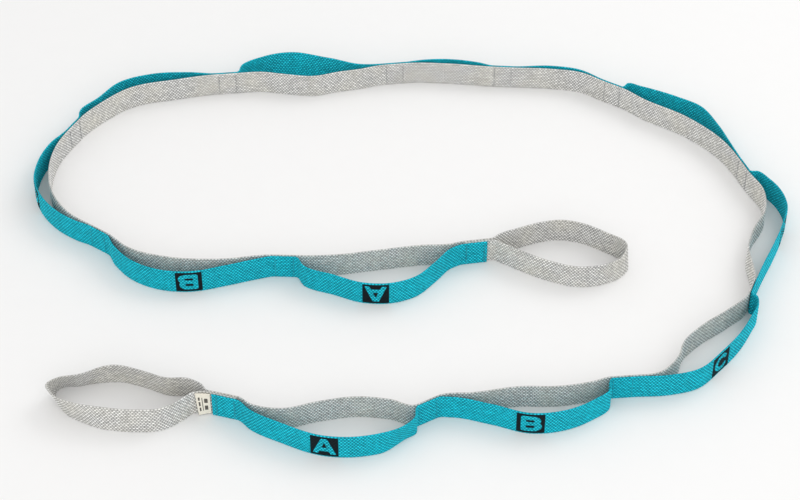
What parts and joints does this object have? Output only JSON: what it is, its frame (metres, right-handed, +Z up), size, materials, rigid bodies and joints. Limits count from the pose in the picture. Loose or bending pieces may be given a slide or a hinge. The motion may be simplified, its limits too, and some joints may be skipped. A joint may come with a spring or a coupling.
{
  "type": "stretching strap",
  "caption": "Flat woven exercise strap lying on edge in one large turn, with sewn grip loops along it, a handle loop at each end and a small care label.",
  "frame": {"origin": "middle of the laid strap's bounding box, on the surface that it stands on", "axes": "+Z up, along the webbing's width; +X along the longer side of the big turn, with handle 1 at -X and -Y; +Y from the open runs to the closed far run"},
  "size_m": [0.6878, 0.5084, 0.025],
  "materials": {
    "base_webbing": "matt woven herringbone webbing, undyed grey",
    "loop_webbing": "matt woven webbing, dyed teal, with printed black index squares",
    "thread": "twisted sewing thread",
    "label": "soft woven label tape"
  },
  "bodies": {
    "handle_1_end": {"handle_1": "base_webbing"},
    "strap_a1": {"base_a1": "base_webbing", "loop_a1": "loop_webbing", "stitches_a1": "thread", "webbing_end_1": "base_webbing"},
    "strap_b1": {"base_b1": "base_webbing", "loop_b1": "loop_webbing", "stitches_b1": "thread"},
    "strap_c1": {"base_c1": "base_webbing", "loop_c1": "loop_webbing", "stitches_c1": "thread"},
    "strap_d1": {"base_d1": "base_webbing", "loop_d1": "loop_webbing", "stitches_d1": "thread"},
    "strap_e1": {"base_e1": "base_webbing", "loop_e1": "loop_webbing", "stitches_e1": "thread"},
    "strap_f1": {"base_f1": "base_webbing", "loop_f1": "loop_webbing", "stitches_f1": "thread"},
    "strap_f2": {"base_f2": "base_webbing", "loop_f2": "loop_webbing", "stitches_f2": "thread"},
    "strap_e2": {"base_e2": "base_webbing", "loop_e2": "loop_webbing", "stitches_e2": "thread"},
    "strap_d2": {"base_d2": "base_webbing", "loop_d2": "loop_webbing", "stitches_d2": "thread"},
    "strap_c2": {"base_c2": "base_webbing", "loop_c2": "loop_webbing", "stitches_c2": "thread"},
    "strap_b2": {"base_b2": "base_webbing", "loop_b2": "loop_webbing", "stitches_b2": "thread"},
    "strap_a2": {"base_a2": "base_webbing", "loop_a2": "loop_webbing", "stitches_a2": "thread", "webbing_end_2": "base_webbing"},
    "handle_2_end": {"handle_2": "base_webbing"},
    "label": {"care_label": "label"}
  },
  "joints": [
    {"name": "handle_1_bend", "type": "hinge", "parent": "strap_a1", "child": "handle_1_end", "pos_m": [-0.16324, -0.20289, 0.0125], "axis": [0, 0, -1], "range_deg": [-35, 30]},
    {"name": "bend_a1_b1", "type": "hinge", "parent": "strap_b1", "child": "strap_a1", "pos_m": [0.01547, -0.21352, 0.0125], "axis": [0, 0, 1], "range_deg": [-20, 40]},
    {"name": "bend_b1_c1", "type": "hinge", "parent": "strap_c1", "child": "strap_b1", "pos_m": [0.17808, -0.18615, 0.0125], "axis": [0, 0, -1], "range_deg": [-40, 12]},
    {"name": "bend_c1_d1", "type": "hinge", "parent": "strap_d1", "child": "strap_c1", "pos_m": [0.29938, -0.07706, 0.0125], "axis": [0, 0, 1], "range_deg": [-8, 40]},
    {"name": "bend_d1_e1", "type": "hinge", "parent": "strap_e1", "child": "strap_d1", "pos_m": [0.31089, 0.08363, 0.0125], "axis": [0, 0, -1], "range_deg": [-40, 8]},
    {"name": "bend_e1_f1", "type": "hinge", "parent": "strap_f1", "child": "strap_e1", "pos_m": [0.1985, 0.20261, 0.0125], "axis": [0, 0, 1], "range_deg": [-20, 40]},
    {"name": "bend_f1_f2", "type": "hinge", "parent": "strap_f1", "child": "strap_f2", "pos_m": [0.09307, 0.22975, 0.0125], "axis": [0, 0, 1], "range_deg": [-40, 25]},
    {"name": "bend_f2_e2", "type": "hinge", "parent": "strap_f2", "child": "strap_e2", "pos_m": [-0.01212, 0.23474, 0.0125], "axis": [0, 0, -1], "range_deg": [-20, 40]},
    {"name": "bend_e2_d2", "type": "hinge", "parent": "strap_e2", "child": "strap_d2", "pos_m": [-0.1751, 0.21924, 0.0125], "axis": [0, 0, 1], "range_deg": [-30, 15]},
    {"name": "bend_d2_c2", "type": "hinge", "parent": "strap_d2", "child": "strap_c2", "pos_m": [-0.31535, 0.14173, 0.0125], "axis": [0, 0, -1], "range_deg": [-15, 12]},
    {"name": "bend_c2_b2", "type": "hinge", "parent": "strap_c2", "child": "strap_b2", "pos_m": [-0.27654, -0.00498, 0.0125], "axis": [0, 0, 1], "range_deg": [-12, 25]},
    {"name": "bend_b2_a2", "type": "hinge", "parent": "strap_b2", "child": "strap_a2", "pos_m": [-0.10903, -0.03965, 0.0125], "axis": [0, 0, -1], "range_deg": [-40, 25]},
    {"name": "handle_2_bend", "type": "hinge", "parent": "strap_a2", "child": "handle_2_end", "pos_m": [0.07248, -0.01803, 0.0125], "axis": [0, 0, 1], "range_deg": [-35, 35]},
    {"name": "label_flap", "type": "hinge", "parent": "handle_1_end", "child": "label", "pos_m": [-0.16527, -0.20455, 0.0125], "axis": [0, 0, 1], "range_deg": [0, 100]}
  ]
}
